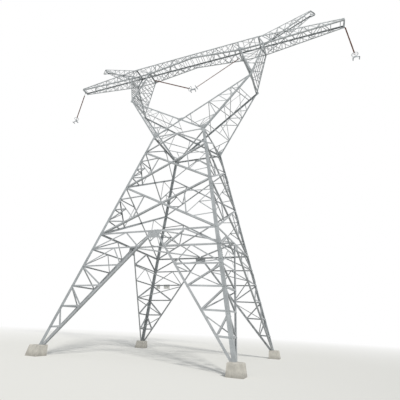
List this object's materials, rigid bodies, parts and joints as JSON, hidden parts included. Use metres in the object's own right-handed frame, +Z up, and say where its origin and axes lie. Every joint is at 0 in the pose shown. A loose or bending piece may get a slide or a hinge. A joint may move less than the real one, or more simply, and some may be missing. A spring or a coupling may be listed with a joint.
{
  "type": "lattice transmission pylon",
  "caption": "Self-supporting lattice steel transmission tower with a cup-shaped head, a box-truss crossarm, ground-wire peaks and hanging insulator strings.",
  "frame": {"origin": "on the ground, at the middle of the base between the four footings", "axes": "+X along the crossarm to the right in the picture, +Y along the line away from the camera, +Z up"},
  "size_m": [28.18, 10.6846, 27.0303],
  "materials": {
    "galvanised_steel": "dull hot-dip zinc",
    "galvanised_bracing": "dull hot-dip zinc",
    "concrete": "rough cast",
    "silicone_rubber": "matte",
    "forged_steel": "dull hot-dip zinc",
    "ring_aluminium": "satin"
  },
  "bodies": {
    "tower": {"far_face_bracing": "galvanised_bracing", "far_left_footing": "concrete", "far_left_leg": "galvanised_steel", "far_left_leg_bracing": "galvanised_bracing", "far_right_footing": "concrete", "far_right_leg": "galvanised_steel", "far_right_leg_bracing": "galvanised_bracing", "left_crossarm_end_frames": "galvanised_steel", "left_crossarm_end_lacing": "galvanised_bracing", "left_crossarm_frames": "galvanised_steel", "left_crossarm_lacing": "galvanised_bracing", "left_face_bracing": "galvanised_bracing", "left_ground_wire_peak": "galvanised_steel", "left_ground_wire_peak_lacing": "galvanised_bracing", "left_lower_arm_frames": "galvanised_steel", "left_lower_arm_lacing": "galvanised_bracing", "left_tip_beam": "galvanised_steel", "left_upper_arm_frames": "galvanised_steel", "left_upper_arm_lacing": "galvanised_bracing", "level_3_plan_bracing": "galvanised_bracing", "near_face_bracing": "galvanised_bracing", "near_left_footing": "concrete", "near_left_leg": "galvanised_steel", "near_left_leg_bracing": "galvanised_bracing", "near_right_footing": "concrete", "near_right_leg": "galvanised_steel", "near_right_leg_bracing": "galvanised_bracing", "right_crossarm_end_frames": "galvanised_steel", "right_crossarm_end_lacing": "galvanised_bracing", "right_crossarm_frames": "galvanised_steel", "right_crossarm_lacing": "galvanised_bracing", "right_face_bracing": "galvanised_bracing", "right_ground_wire_peak": "galvanised_steel", "right_ground_wire_peak_lacing": "galvanised_bracing", "right_lower_arm_frames": "galvanised_steel", "right_lower_arm_lacing": "galvanised_bracing", "right_tip_beam": "galvanised_steel", "right_upper_arm_frames": "galvanised_steel", "right_upper_arm_lacing": "galvanised_bracing", "v_string_beams": "galvanised_steel", "waist_plan_bracing": "galvanised_bracing"},
    "left_string": {"left_string_fittings": "forged_steel", "left_string_insulator": "silicone_rubber", "left_string_ring": "ring_aluminium"},
    "right_string": {"right_string_fittings": "forged_steel", "right_string_insulator": "silicone_rubber", "right_string_ring": "ring_aluminium"},
    "v_string": {"v_string_fittings": "forged_steel", "v_string_insulators": "silicone_rubber", "v_string_rings": "ring_aluminium"}
  },
  "joints": [
    {"name": "left_string_swing", "type": "hinge", "parent": "tower", "child": "left_string", "pos_m": [-13.81, 0, 24.21492], "axis": [0, 1, 0], "range_deg": [-45, 45]},
    {"name": "right_string_swing", "type": "hinge", "parent": "tower", "child": "right_string", "pos_m": [13.81, 0, 24.21492], "axis": [0, 1, 0], "range_deg": [-45, 45]},
    {"name": "v_string_swing", "type": "hinge", "parent": "tower", "child": "v_string", "pos_m": [0, 0, 23.5977], "axis": [1, 0, 0], "range_deg": [-40, 40]}
  ]
}
